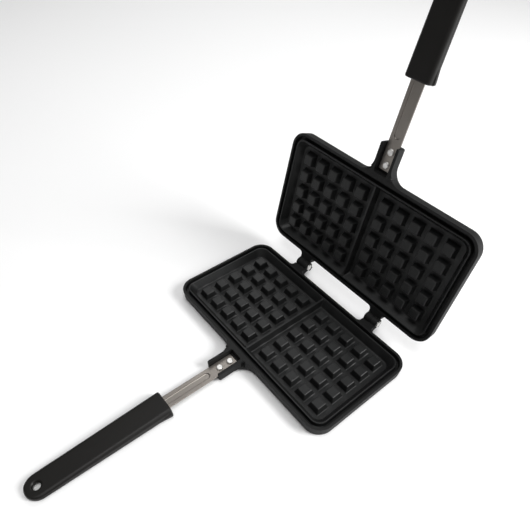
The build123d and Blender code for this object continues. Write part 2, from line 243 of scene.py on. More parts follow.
class StageSettings(PropertyGroup):
    """The floor, the lights and the camera."""
    floor: colour("Floor", (0.96, 0.96, 0.96), "Colour of the floor")
    room: share("Room light", 0.22, "Strength of the white light all round")
    lens: FloatProperty(name="Lens", description="Focal length in millimetres", default=30.48)
    shift: FloatVectorProperty(name="Camera shift", description="Frame's shift to the side and up",
                               default=(-0.0206, 0.0844), size=2, precision=5)
    place: FloatVectorProperty(name="Camera place", description="Where the camera stands",
                               default=(0.2305, -0.21755, 0.40538), unit="LENGTH", precision=5)
    angles: FloatVectorProperty(name="Camera angles", description="Camera's tilt, roll and heading",
                                default=[radians(a) for a in (40.40, -1.42, 50.49)],
                                subtype="EULER")


SETTINGS = {"waffle_casting": CastingSettings, "waffle_strip": StripSettings,
            "waffle_rivet": RivetSettings, "waffle_grip": GripSettings,
            "waffle_pin": PinSettings, "waffle_stage": StageSettings}


# --- modelling by hand ----------------------------------------------------------------
def start(name, add, stretch, middle, **shape):
    """Add a primitive, stretched and in its place, and leave it in edit mode."""
    bpy.ops.object.select_all(action="DESELECT")
    add(location=middle, **shape)
    piece = bpy.context.object
    piece.scale = stretch
    piece.name = name
    piece.data.name = name
    bpy.ops.object.transform_apply(location=True, rotation=True, scale=True)
    bpy.ops.object.mode_set(mode="EDIT")


def start_block(name, low, high):
    """A block between two corners, in edit mode."""
    low, high = Vector(low), Vector(high)
    start(name, bpy.ops.mesh.primitive_cube_add, high - low, (low + high) / 2, size=1)


def start_round(name, radius, place, low, high, along="Z"):
    """A cylinder from low to high along Z or X, through a place, in edit mode."""
    place = Vector(place)
    axis = "XYZ".index(along)
    place[axis] = (low + high) / 2
    rotation = (0, radians(90), 0) if along == "X" else (0, 0, 0)
    start(name, bpy.ops.mesh.primitive_cylinder_add, (1, 1, 1), place, radius=radius,
          depth=high - low, rotation=rotation, vertices=ROUND_STEPS)


def middle_of(part):
    """The middle of an edge or face."""
    if isinstance(part, bmesh.types.BMFace):
        return part.calc_center_median()
    return (part.verts[0].co + part.verts[1].co) / 2


def pick(kind, wanted):
    """Select only those vertices, edges or faces of the piece in hand that are wanted."""
    bpy.ops.mesh.select_mode(type=kind)
    bpy.ops.mesh.select_all(action="DESELECT")
    mesh = bmesh.from_edit_mesh(bpy.context.edit_object.data)
    parts = {"VERT": mesh.verts, "EDGE": mesh.edges, "FACE": mesh.faces}[kind]
    for part in parts:
        if wanted(part):
            part.select_set(True)
    mesh.select_flush_mode()
    bmesh.update_edit_mesh(bpy.context.edit_object.data)


def along(edge, axis):
    """Whether an edge runs along an axis: 0, 1 or 2."""
    run = edge.verts[1].co - edge.verts[0].co
    return abs(run[axis]) > 0.95 * run.length


def level(part, height):
    """Whether a whole edge or face lies at a height."""
    return all(abs(vert.co.z - height) < SAME for vert in part.verts)


def move(offset):
    """Move what is selected."""
    bpy.ops.transform.translate(value=offset)


def scale_about(factors, place):
    """Stretch what is selected about a place."""
    bpy.ops.transform.resize(value=factors, center_override=place)


def extrude(offset):
    """Pull the selected faces out by an offset."""
    bpy.ops.mesh.extrude_region_move(TRANSFORM_OT_translate={"value": offset})


def round_off(radius, steps):
    """Round the selected edges."""
    bpy.ops.mesh.bevel(offset=radius, segments=steps)


def cut_all(place, normal, **what):
    """Cut the whole piece in hand with a plane."""
    bpy.ops.mesh.select_all(action="SELECT")
    bpy.ops.mesh.bisect(plane_co=place, plane_no=normal, **what)


def merge_flats():
    """Melt the edges that lie inside flat faces."""
    bpy.ops.mesh.select_all(action="SELECT")
    bpy.ops.mesh.dissolve_limited(angle_limit=radians(0.3))


def cut_flat(piece, height):
    """Mill the top of a piece flat at a height."""
    edit(piece)
    cut_all((0, 0, height), (0, 0, 1), clear_outer=True, use_fill=True)
    merge_flats()
    done()


def done():
    """Close the mesh in hand, with its faces outwards, and leave edit mode."""
    bpy.ops.mesh.select_all(action="SELECT")
    bpy.ops.mesh.remove_doubles(threshold=SAME / 4)
    bpy.ops.mesh.normals_make_consistent(inside=False)
    bpy.ops.object.mode_set(mode="OBJECT")
    return bpy.context.object


def hold(piece):
    """Make a piece the only one selected and the active one."""
    bpy.ops.object.select_all(action="DESELECT")
    piece.select_set(True)
    bpy.context.view_layer.objects.active = piece


def edit(piece):
    """Take a piece in hand, in edit mode."""
    hold(piece)
    bpy.ops.object.mode_set(mode="EDIT")


def apply(piece, kind, **settings):
    """Add a modifier to a piece and apply it."""
    hold(piece)
    modifier = piece.modifiers.new(kind.lower(), kind)
    for name, value in settings.items():
        setattr(modifier, name, value)
    bpy.ops.object.modifier_apply(modifier=modifier.name)


def combine(piece, operation, others):
    """Change a piece by others, which are used up."""
    for other in others:
        apply(piece, "BOOLEAN", object=other, operation=operation, solver="EXACT")
        bpy.data.objects.remove(other)
    return piece


def join(piece, *others):
    """Grow a piece by others."""
    return combine(piece, "UNION", others)


def cut(piece, *others):
    """Cut others out of a piece."""
    return combine(piece, "DIFFERENCE", others)


def soften(piece, radius, sharp=35, kept=lambda edge: False):
    """Round every sharp edge that isn't kept, then shade the piece."""
    edit(piece)
    bpy.ops.mesh.select_all(action="SELECT")
    bpy.ops.mesh.remove_doubles(threshold=SAME / 2)
    merge_flats()
    pick("EDGE", lambda edge: edge.calc_face_angle(0) > radians(sharp) and not kept(edge))
    bpy.ops.transform.edge_bevelweight(value=1)
    done()
    apply(piece, "BEVEL", width=radius, segments=2, limit_method="WEIGHT",
          use_clamp_overlap=False, miter_outer="MITER_ARC")
    shade(piece)


def shade(piece):
    """Shade a piece smooth except over sharp edges, with the flats kept flat."""
    hold(piece)
    bpy.ops.object.shade_smooth_by_angle(angle=radians(40))
    apply(piece, "WEIGHTED_NORMAL", keep_sharp=True, weight=80)


def opened_copy(piece, name):
    """The same piece in the open upper half's place, with a mesh of its own."""
    hold(piece)
    bpy.ops.object.duplicate()
    other = bpy.context.object
    other.name = name
    other.data.name = name
    other.data.transform(OPEN)
    return other


def hand_over(piece, material, body, node):
    """Give a finished piece its material, and its part in the frame."""
    piece.data.materials.clear()
    piece.data.materials.append(material)
    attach(piece, body)
    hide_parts(node)


def hand_over_both(lower, upper_name, finish_of, node):
    """Copy a lower piece to the open upper half, and hand over the two."""
    for half, piece in (("lower", lower), ("upper", opened_copy(lower, upper_name))):
        hand_over(piece, finish_of(half), f"{half}_half", f"{half}_{node}")


# --- materials ------------------------------------------------------------------------
class Value:
    """One number in a shader, so that maths on it can be written as an expression."""

    def __init__(self, finish, socket):
        self.finish = finish
        self.socket = socket

    def __add__(self, other):
        return self.finish.maths("ADD", self, other)

    __radd__ = __add__

    def __sub__(self, other):
        return self.finish.maths("SUBTRACT", self, other)

    def __rsub__(self, other):
        return self.finish.maths("SUBTRACT", other, self)

    def __mul__(self, other):
        return self.finish.maths("MULTIPLY", self, other)

    __rmul__ = __mul__


class Finish:
    """A material, its shader and the nodes that feed it."""

    def __init__(self, name, **shader):
        self.material = bpy.data.materials.new(name)
        self.material.use_nodes = True
        self.tree = self.material.node_tree
        self.tree.nodes.clear()
        self.shader = self.tree.nodes.new("ShaderNodeBsdfPrincipled")
        output = self.tree.nodes.new("ShaderNodeOutputMaterial")
        self.tree.links.new(self.shader.outputs[0], output.inputs["Surface"])
        for socket, value in shader.items():
            self.feed(socket.replace("_", " "), value)

    def feed(self, socket, value):
        """Set a socket of the shader, or link a value to it."""
        self.connect(self.shader, socket, value)

    def connect(self, node, socket, value):
        """Set a socket of a node, or link a value to it."""
        if isinstance(value, Value):
            self.tree.links.new(value.socket, node.inputs[socket])
        else:
            node.inputs[socket].default_value = value

    def add(self, kind, settings=None, sockets=None, output=0):
        """Add a node, make its settings, feed its sockets and return an output."""
        node = self.tree.nodes.new(kind)
        for name, value in (settings or {}).items():
            if name == "stops":
                self.set_stops(node, value)
            else:
                setattr(node, name, value)
        for socket, value in (sockets or {}).items():
            self.connect(node, socket, value)
        return Value(self, node.outputs[output])

    def maths(self, operation, *values):
        """Work out one number from others."""
        return self.add("ShaderNodeMath", {"operation": operation}, dict(enumerate(values)))

    def set_stops(self, ramp, stops):
        """Set a ramp's stops from pairs of place and grey."""
        elements = ramp.color_ramp.elements
        while len(elements) < len(stops):
            elements.new(0.5)
        for element, (place, grey) in zip(elements, stops):
            element.position = place
            element.color = (grey, grey, grey, 1)

    def place(self, middle=(0, 0, 0), turned=(0, 0, 0), stretch=(1, 1, 1)):
        """Object coordinates, centred, turned and stretched for a pattern."""
        here = self.add("ShaderNodeTexCoord", output="Object")
        moved = self.add("ShaderNodeVectorMath", {"operation": "SUBTRACT"},
                         {0: here, 1: middle})
        return self.add("ShaderNodeMapping", {},
                        {"Vector": moved, "Rotation": turned, "Scale": stretch})

    def noise(self, where, per_metre, detail=2.0, roughness=0.5):
        """Soft noise from 0 to 1."""
        return self.add("ShaderNodeTexNoise", {}, {"Vector": where, "Scale": per_metre,
                                                   "Detail": detail, "Roughness": roughness})

    def ramp(self, value, *stops):
        """A value passed through a ramp of greys."""
        return self.add("ShaderNodeValToRGB", {"stops": stops}, {"Fac": value})

    def below(self, value, limit, blur=0.6 * MM):
        """1 where a value is below a limit and 0 above it."""
        return self.add("ShaderNodeMapRange", {"interpolation_type": "SMOOTHSTEP"}, {
            "Value": value, "From Min": limit + blur, "From Max": limit - blur})

    def mix(self, share, first, second):
        """A colour between two colours."""
        return self.add("ShaderNodeMix", {"data_type": "RGBA"},
                        {0: share, 6: first, 7: second}, output=2)

    def bump(self, height, strength, depth):
        """Feed a height in metres of relief to the shader's normal."""
        self.feed("Normal", self.add("ShaderNodeBump", {}, {
            "Height": height, "Strength": strength, "Distance": depth}))


def rgba(value, scale=1.0):
    """A colour with its alpha, lighter or darker by a scale."""
    return (*[min(1.0, channel * scale) for channel in value], 1.0)


def nonstick_casting(name, s, half):
    """Black non-stick coating: fine orange peel, duller outside the cavities."""
    finish = Finish(name, Metallic=0.0, Specular_IOR_Level=0.30)
    here = finish.place(*half)
    peel = finish.noise(here, per_metre=900, detail=3)
    clouds = finish.noise(here, per_metre=26, detail=4, roughness=0.6)
    specks = finish.ramp(finish.noise(here, per_metre=2100, detail=1), (0.66, 0.0), (0.74, 1.0))
    wear = finish.ramp(clouds, (0.40, 0.0), (0.72, 1.0))
    across, deep = [finish.add("ShaderNodeSeparateXYZ", {}, {0: here}, output=axis)
                    for axis in (0, 1)]
    wall = s.rim + s.gutter_width
    inside = (finish.below(finish.maths("ABSOLUTE", across), LENGTH / 2 - wall)
              * finish.below(finish.maths("ABSOLUTE", deep), BACK - wall))
    worn = finish.mix(wear, rgba(s.coating), rgba(s.coating, 1.7))
    coat = finish.mix(inside, rgba(s.coating, 0.6), worn)
    finish.feed("Base Color", finish.mix(specks * 0.35, coat, rgba(s.coating, 4.0)))
    finish.feed("Roughness", s.sheen + 0.16 - inside * 0.19 + wear * 0.08 + peel * 0.06)
    finish.bump(peel + clouds * 0.4, 0.35, 0.12 * MM)
    return finish.material


def satin_steel(name, s, half):
    """Plain stamped steel, brushed along its length, with faint stains."""
    finish = Finish(name, Metallic=1.0)
    drawn = finish.place(*half, stretch=(1, 0.02, 1))
    here = finish.place(*half)
    lines = finish.noise(drawn, per_metre=2600, detail=3, roughness=0.65)
    stain = finish.noise(here, per_metre=60, detail=4, roughness=0.6)
    tone = finish.mix(stain, rgba(s.steel, 0.82), rgba(s.steel, 1.12))
    finish.feed("Base Color", finish.mix(lines * 0.35, tone, rgba(s.steel, 0.6)))
    finish.feed("Roughness", 0.30 + lines * 0.12 + stain * 0.08)
    finish.bump(lines, 0.25, 0.05 * MM)
    return finish.material


def bright_aluminium(s):
    """Upset aluminium, bright, with small dents from the rivet set."""
    finish = Finish("rivet aluminium", Metallic=1.0)
    here = finish.place()
    dents = finish.noise(here, per_metre=520)
    grain = finish.noise(here, per_metre=2600)
    finish.feed("Base Color", finish.mix(dents, rgba(s.aluminium, 0.85), rgba(s.aluminium, 1.1)))
    finish.feed("Roughness", 0.36 + grain * 0.16)
    finish.bump(dents + grain * 0.2, 0.4, 0.15 * MM)
    return finish.material


def turned_steel(s):
    """Bright steel with fine turning rings about the hinge axis."""
    turns_per_metre = 14000     # in radians
    finish = Finish("pin steel", Metallic=1.0)
    here = finish.place(middle=HINGE)
    flat = finish.add("ShaderNodeVectorMath", {"operation": "MULTIPLY"}, {0: here, 1: (0, 1, 1)})
    radius = finish.add("ShaderNodeVectorMath", {"operation": "LENGTH"}, {0: flat}, output=1)
    rings = finish.maths("SINE", radius * turns_per_metre)
    grain = finish.noise(here, per_metre=900, detail=3)
    finish.feed("Base Color", finish.mix(grain, rgba(s.steel, 0.8), rgba(s.steel, 1.1)))
    finish.feed("Roughness", 0.22 + grain * 0.18)
    finish.bump(rings * 0.5 + grain, 0.25, 0.06 * MM)
    return finish.material


def moulded_phenolic(s):
    """Black moulded phenolic: a fine matt skin with flow marks and a little polish."""
    finish = Finish("grip phenolic", Metallic=0.0, Specular_IOR_Level=0.30)
    here = finish.place()
    flow = finish.noise(finish.place(stretch=(1, 0.35, 1)), per_metre=55, detail=4,
                        roughness=0.6)
    grain = finish.noise(here, per_metre=2400)
    tone = finish.mix(flow, rgba(s.phenolic, 0.75), rgba(s.phenolic, 1.35))
    finish.feed("Base Color", tone)
    finish.feed("Roughness", s.sheen + flow * 0.10 + grain * 0.05)
    finish.bump(grain + flow * 0.5, 0.25, 0.08 * MM)
    return finish.material


def pale_floor(s):
    """A plain pale floor with a trace of unevenness."""
    finish = Finish("pale floor", Roughness=0.9, Specular_IOR_Level=0.1)
    clouds = finish.noise(finish.place(), per_metre=3)
    finish.feed("Base Color", finish.mix(clouds, rgba(s.floor, 0.99), rgba(s.floor)))
    return finish.material


# --- the cast halves ------------------------------------------------------------------
def start_rounded(name, low, high, corner):
    """A block with its upright edges rounded, in edit mode."""
    start_block(name, low, high)
    pick("EDGE", lambda edge: along(edge, 2))
    round_off(corner, CORNER_STEPS)


def plate(s):
    """The plate's block: round corners and a draughted wall, its face still to be cut flat."""
    start_rounded("lower_casting", (-LENGTH / 2, FRONT, 0), (LENGTH / 2, BACK, TOP), s.corner)
    lean = TOP * sin(s.draught)
    pick("FACE", lambda face: face.normal.z < -0.9)
    scale_about((1 - 2 * lean / LENGTH, 1 - lean / BACK, 1), (0, 0, 0))
    pick("EDGE", lambda edge: level(edge, 0))
    round_off(s.base_round, 4)
    pick("FACE", lambda face: face.normal.z > 0.9)
    extrude((0, 0, SPARE))
    return done()


def gutter(s):
    """The ring that is cut out between the rim and the sealing ridge."""
    floor = TOP - s.gutter_depth
    rings = []
    for name, wall, spare in (("gutter", s.rim, 0), ("ridge", s.rim + s.gutter_width, SPARE)):
        start_rounded(name, (wall - LENGTH / 2, FRONT + wall, floor - spare),
                      (LENGTH / 2 - wall, BACK - wall, TOP + SPARE + spare), s.corner - wall)
        rings.append(done())
    ring = cut(*rings)
    edit(ring)
    pick("EDGE", lambda edge: level(edge, floor) and not edge_is_flat(edge))
    round_off(GUTTER_ROUND, 3)
    return done()


def edge_is_flat(edge):
    """Whether an edge lies between two faces of one plane."""
    return len(edge.link_faces) == 2 and edge.calc_face_angle() < radians(1)


def cavity(s, side):
    """What is cut out for one waffle: sloping walls and a floor with stud-shaped dents."""
    floor = TOP - s.cavity_depth
    wall = s.rim + s.gutter_width + s.ridge
    near, far = sorted((side * s.rib / 2, side * (LENGTH / 2 - wall)))
    start_block("cavity", (near, FRONT + wall, floor), (far, BACK - wall, TOP))
    middle = Vector(((near + far) / 2, 0, floor))
    for outer, radius in ((True, s.corner - wall), (False, s.rib_corner)):
        pick("EDGE", lambda edge: along(edge, 2)
             and (abs(middle_of(edge).x) > abs(middle.x)) == outer
             and abs(edge.verts[0].co.y) > BACK - wall - SAME)
        round_off(radius, 8)
    pick("FACE", lambda face: face.normal.z < -0.9)
    narrow = 1 - (s.cavity_slope + s.rib_lean) / (far - near)
    shallow = 1 - s.cavity_slope / (BACK - wall)
    scale_about((narrow, shallow, 1), middle)
    move((-side * (s.cavity_slope - s.rib_lean) / 2, 0, 0))
    pick("EDGE", lambda edge: level(edge, floor))
    round_off(CAVITY_ROUND, 3)
    dent_studs(s, side, floor)
    pick("FACE", lambda face: face.normal.z > 0.9 and level(face, TOP))
    extrude((0, 0, SPARE))
    return done()


def rib_drop(s):
    """What is milled off the rib's top, with a gentle ramp up to the ridge at each end."""
    half = s.rib / 2 + SPARE
    end = BACK - s.rim - s.gutter_width - s.ridge - RIB_STEP + RIB_RAMP
    start_block("rib_drop", (-half, -end, TOP - s.rib_below), (half, end, TOP + s.rib_below))
    pick("FACE", lambda face: face.normal.z < -0.9)
    scale_about((1, 1 - 2 * RIB_RAMP / end, 1), (0, 0, 0))
    return done()


def stud_places(s, side):
    """The middles of one cavity's stud rows, along X and along Y."""
    columns = [side * (s.stud_first + step * s.stud_pitch) for step in range(5)]
    rows = [step * s.stud_pitch for step in range(-2, 3)]
    return columns, rows


def dent_studs(s, side, floor):
    """Dent the cavity cutter's floor with a grid of tapered, round-edged studs."""
    half = s.stud_base / 2
    columns, rows = stud_places(s, side)
    cuts = [((x + edge, 0, 0), (1, 0, 0)) for x in columns for edge in (-half, half)]
    cuts += [((0, y + edge, 0), (0, 1, 0)) for y in rows for edge in (-half, half)]
    for place, normal in cuts:
        pick("FACE", lambda face: level(face, floor))
        bpy.ops.mesh.bisect(plane_co=place, plane_no=normal)

    def on_stud(face):
        """Whether a face of the cut-up floor is a stud's foot."""
        where = middle_of(face)
        return (level(face, floor) and min(abs(where.x - x) for x in columns) < half / 4
                and min(abs(where.y - y) for y in rows) < half / 4)

    height = s.cavity_depth - s.stud_below
    pick("FACE", on_stud)
    bpy.ops.mesh.inset(thickness=(s.stud_base - s.stud_top) / 2, depth=-height,
                       use_individual=True)

    def stud_edge(edge):
        """Whether an edge belongs to a stud's foot, side or top."""
        where = middle_of(edge)
        on_grid = (min(abs(where.x - x) for x in columns) < half + SAME
                   and min(abs(where.y - y) for y in rows) < half + SAME)
        return on_grid and edge.calc_face_angle() > radians(10)

    pick("EDGE", stud_edge)
    round_off(s.stud_round, 2)


def lug(name, middle, width, base, edge, end, floor, corner):
    """A lug that stands out from the plate's edge, with round inside corners."""
    reach = width / 2 + corner + LUG_SIDE
    low_y, high_y = sorted((base, edge))
    start_block(name, (middle - reach, low_y, floor),
                (middle + reach, high_y, TOP + SPARE / 2))
    for side in (-1, 1):
        cut_all((middle + side * width / 2, 0, 0), (1, 0, 0))
    pick("FACE", lambda face: abs(middle_of(face).y - edge) < SAME
         and abs(middle_of(face).x - middle) < width / 4)
    extrude((0, end - edge, 0))
    merge_flats()
    pick("EDGE", lambda part: along(part, 2) and abs(middle_of(part).y - edge) < SAME
         and abs(abs(middle_of(part).x - middle) - width / 2) < SAME)
    round_off(corner, 12)


def handle_lug(s):
    """The lug that the strip is riveted to, with its channel still to be cut."""
    lug("handle_lug", 0, s.lug_width, FRONT + s.rim * LUG_ROOT, FRONT, PAN_LOW.y,
        TOP - s.lug_depth, s.lug_corner)
    pick("EDGE", lambda edge: along(edge, 2) and abs(middle_of(edge).y - PAN_LOW.y) < SAME)
    round_off(LUG_ROUND, 3)
    return done()


def channel(s):
    """What is cut out of the lug for the strip."""
    half = s.channel_width / 2
    start_block("channel", (-half, PAN_LOW.y - SPARE, STRIP_BACK),
                (half, FRONT - s.channel_start, TOP + SPARE))
    pick("EDGE", lambda edge: along(edge, 2) and middle_of(edge).y > PAN_LOW.y)
    round_off(CHANNEL_ROUND, 3)
    return done()


def bore(radius, place, low, high, along="Z"):
    """A plain round cutter."""
    start_round("bore", radius, place, low, high, along)
    return done()


def register_peg(place):
    """The tapered peg that finds the other half's socket."""
    start_round("peg", PEG_RADIUS, place, TOP - SPARE, TOP + PEG_HEIGHT)
    pick("FACE", lambda face: face.normal.z > 0.9)
    scale_about((PEG_TIP, PEG_TIP, 1), place)
    return done()


def hinge_arm(s, span):
    """An arm across one hinge with the web of its knuckle, its face still to be cut flat."""
    left, own, right = span
    floor = TOP - s.arm_depth
    end = HINGE.y - s.knuckle - ARM_SHORT
    lug("arm", (left + right) / 2, right - left, BACK - s.rim * LUG_ROOT, BACK, end, floor,
        s.arm_corner)
    arm = done()
    start_block("web", (own + WEB_STEP, end - WEB_LAP, floor),
                (right - WEB_STEP, HINGE.y, TOP + SPARE * 0.75))
    pick("EDGE", lambda edge: along(edge, 0) and level(edge, floor)
         and middle_of(edge).y > HINGE.y - SAME)
    move((0, 0, s.arm_depth - s.knuckle + 2 * WEB_STEP))
    return join(arm, done())


def knuckle(s, span):
    """One knuckle with the stop nib behind it."""
    left, own, right = span
    start_round("knuckle", s.knuckle, HINGE, own, right, along="X")
    return join(done(), stop_nib(left + HINGE_GAP, own, right - NIB_SIDE))


def stop_nib(left, own, right):
    """The cast nib that meets the other half's when the pan is wide open."""
    start_round("nib", NIB_OUTER, HINGE, left, right, along="X")
    for side in (-1, 1):
        angle = NIB_MIDDLE + side * NIB_SPAN / 2
        cut_all(HINGE, (0, -side * sin(angle), side * cos(angle)),
                clear_outer=True, use_fill=True)
    return cut(done(), bore(NIB_CLEAR, HINGE, left - SPARE, own - NIB_FACE, "X"))


def at_small_step(edge):
    """Whether an edge is at a step too small to round: a knuckle's face or the rib's end."""
    where = middle_of(edge)
    from_axis = Vector((0, where.y - HINGE.y, where.z - HINGE.z)).length
    from_face = min(abs(where.x - own) for _, own, _ in HINGE_SPANS)
    at_knuckle = from_axis < FACE_REACH and from_face < FACE_DEEP
    at_rib_end = (abs(where.x) < RIB_RAMP and RIB_END_NEAR < abs(where.y) < RIB_END_FAR
                  and where.z > TOP - RIB_END_DEEP)
    return at_knuckle or at_rib_end


def build_casting(s):
    """One whole casting in the lower half's place."""
    peg_place, socket_place = [(side * PEG_SIDE, FRONT - PEG_OUT, 0) for side in (-1, 1)]
    pan = join(plate(s), handle_lug(s), *[hinge_arm(s, span) for span in HINGE_SPANS])
    cut_flat(pan, TOP)
    join(pan, *[knuckle(s, span) for span in HINGE_SPANS], register_peg(peg_place))
    cut(pan, gutter(s), cavity(s, -1), cavity(s, 1), rib_drop(s), channel(s))
    cut(pan, bore(SOCKET_RADIUS, socket_place, TOP - SOCKET_DEPTH, TOP + SPARE))
    for place in RIVET_PLACES:
        cut(pan, bore(RIVET_BORE, place, 0, TOP))
    for left, _, right in HINGE_SPANS:
        cut(pan, bore(PIN_BORE, HINGE, left - SPARE, right + SPARE, "X"))
    soften(pan, s.edge, kept=at_small_step)
    return pan


# --- strips, rivets, grips and pins ---------------------------------------------------
def build_strip(s):
    """The stamped strip, with a round-ended bead pressed down its middle."""
    face, back = STRIP_HIGH.z, STRIP_HIGH.z - s.thickness
    end = GRIP_HIGH.y - STRIP_TUCK
    start_block("lower_strip", (STRIP_LOW.x, end, back), (STRIP_HIGH.x, STRIP_HIGH.y, face))
    pick("EDGE", lambda edge: along(edge, 2) and middle_of(edge).y > end + SAME)
    round_off(STRIP_CORNER, 3)
    strip = done()
    bead_end = FRONT - s.bead_start

    def bar(half, low, high, bottom_round):
        """The bead's shape, as wide and deep as its outside or its inside."""
        start_block("bead", (-half, end + BEAD_TUCK, low), (half, bead_end, high))
        pick("EDGE", lambda edge: along(edge, 2) and middle_of(edge).y > end + BEAD_TUCK + SPARE)
        round_off(half * BEAD_ROUND, 12)
        pick("EDGE", lambda edge: level(edge, low))
        round_off(bottom_round, 4)
        return done()

    outer = s.bead_width / 2 + s.bead_depth
    join(strip, bar(outer, back - s.bead_depth, face - s.thickness / 2, s.bead_depth))
    cut(strip, bar(s.bead_width / 2, face - s.bead_depth, face + SPARE, s.bead_depth * 0.9))
    soften(strip, s.edge)
    return strip


def build_rivet(s, place):
    """A rivet with a dished head above the strip and a tail under the lug."""
    seat, crown = STRIP_HIGH.z, RIVET_HIGH.z
    head = (RIVET_HIGH.x - RIVET_LOW.x) / 2
    middle = Vector((place.x, place.y, 0))
    start_round("rivet", head, middle, seat, crown)
    pick("EDGE", lambda edge: level(edge, crown))
    round_off((crown - seat) * RIVET_ROUND, 6)
    for width, drop in RIVET_DISHES:
        pick("FACE", lambda face: face.normal.z > 0.99 and middle_of(face).z > crown - MM
             and len(face.verts) == ROUND_STEPS)
        bpy.ops.mesh.inset(thickness=width, depth=drop)
    pick("FACE", lambda face: level(face, seat))
    bpy.ops.mesh.inset(thickness=head - s.shank)
    extrude((0, 0, RIVET_LOW.z + s.tail_thickness - seat))
    extrude((0, 0, 0))
    scale_about((s.tail / s.shank, s.tail / s.shank, 1), middle)
    extrude((0, 0, -s.tail_thickness))
    pick("EDGE", lambda edge: level(edge, RIVET_LOW.z))
    round_off(s.tail_thickness * TAIL_ROUND, 4)
    rivet = done()
    shade(rivet)
    return rivet


def grip_half_width(s, y):
    """Half the grip's width at a place along it: a taper, then a round tip."""
    near, tip = s.width / 2, s.tip_width / 2
    round_start = GRIP_LOW.y + tip
    if y >= round_start:
        run = (GRIP_HIGH.y - y) / (GRIP_HIGH.y - round_start)
        return near + (tip - near) * run
    past = min(round_start - y, tip * 0.999)    # the last section keeps some width
    return (tip ** 2 - past ** 2) ** 0.5


def grip_flare(s, y):
    """How much wider the grip's lower half is at a place along it, as a factor."""
    share = max(0.0, 1 - (GRIP_HIGH.y - y) / s.flare_length)
    return 1 + s.flare / grip_half_width(s, y) * share ** 2 * (3 - 2 * share)


def grip_heights(s, y):
    """The underside's and the flat face's height; they close in on each other at the tip."""
    run = (GRIP_HIGH.y - y) / (GRIP_HIGH.y - GRIP_LOW.y)
    high = GRIP_HIGH.z + (s.tip_height - GRIP_HIGH.z) * run
    closing = []
    for radius in (s.under_round * TIP_ROUNDS[0], s.top_round * TIP_ROUNDS[1]):
        short = max(0.0, 1 - (y - GRIP_LOW.y) / radius)
        closing.append(radius * (1 - (1 - short ** 2) ** 0.5))
    return GRIP_LOW.z + closing[0], high - closing[1]


def grip_stations(s, near):
    """Places along the grip where its section is set, closer where it curves."""
    tip = s.tip_width / 2
    round_start = GRIP_LOW.y + tip
    flare = [near - s.flare_length * (step + 1) / FLARE_STEPS for step in range(FLARE_STEPS)]
    body = [flare[-1] + (round_start - flare[-1]) * (step + 1) / BODY_STEPS
            for step in range(BODY_STEPS)]
    nose = [round_start - tip * sin(radians(90) * (step + 1) / NOSE_STEPS)
            for step in range(NOSE_STEPS)]
    return flare + body + nose


def start_grip_section(s, y):
    """The grip's section at its near end, with the seam standing out on both sides."""
    half, (low, high) = grip_half_width(s, y), grip_heights(s, y)
    middle = (low + high) / 2
    start("lower_grip_moulding", bpy.ops.mesh.primitive_plane_add, (2 * half, high - low, 1),
          (0, y, middle), size=1, rotation=(radians(90), 0, 0))
    for top, radius in ((True, s.top_round), (False, s.under_round)):
        pick("VERT", lambda vert: (vert.co.z > middle) == top
             and abs(vert.co.z - (high if top else low)) < SAME)
        bpy.ops.mesh.bevel(offset=radius, segments=SECTION_STEPS, affect="VERTICES")
    pick("EDGE", lambda edge: along(edge, 2) and abs(abs(middle_of(edge).x) - half) < SAME)
    seam = sum(middle_of(edge).z for edge in bmesh.from_edit_mesh(
        bpy.context.edit_object.data).edges if edge.select) / 2
    bpy.ops.mesh.subdivide(number_cuts=SECTION_STEPS)
    pick("VERT", lambda vert: abs(vert.co.z - seam) < SAME)
    scale_about((1 + s.seam / half, 1, 1), (0, y, 0))
    return (seam - low) / (high - low)


def widen_lower_half(y, height, factor):
    """Widen what lies under the seam in the section at y, then select the whole section."""
    pick("VERT", lambda vert: abs(vert.co.y - y) < SAME and vert.co.z < height + SAME)
    scale_about((factor, 1, 1), (0, y, 0))
    pick("VERT", lambda vert: abs(vert.co.y - y) < SAME)


def round_near_end(s, near):
    """Pull the section at the near end out in steps that close in round it."""
    low, high = grip_heights(s, near)
    wide, tall, middle = grip_half_width(s, near), (high - low) / 2, (low + high) / 2
    bpy.ops.mesh.select_all(action="SELECT")
    bpy.ops.mesh.normals_make_consistent(inside=False)
    pick("FACE", lambda face: face.normal.y > 0.99 and middle_of(face).y > near - SAME)
    reached, inward = near, 0
    for inset, out in END_STEPS:
        extrude((0, out * s.end_round, 0))
        reached += out * s.end_round
        before, inward = inward, inward + inset * s.end_round
        narrower, lower = [(half - inward) / (half - before) for half in (wide, tall)]
        scale_about((narrower, 1, lower), (0, reached, middle))


def hanging_hole(s):
    """What is cut out for the hanging hole: a plain wall between two dished mouths."""
    hole = Vector((0, HANGING_HOLE.y, 0))
    radius = MOUNTS["lower_hanging_hole"]["dims"]["r_mm"] * MM
    rise, widen = s.hole_mouth - radius, s.hole_mouth / radius
    cutter = bore(radius, hole, -SPARE, TOP)
    for seat, facing in HOLE_WALL:
        start_round("mouth", radius, hole, *sorted((seat, seat + facing * rise)))
        pick("FACE", lambda face: face.normal.z * facing > 0.9)
        scale_about((widen, widen, 1), hole)
        extrude((0, 0, facing * SPARE))
        join(cutter, done())
    return cutter


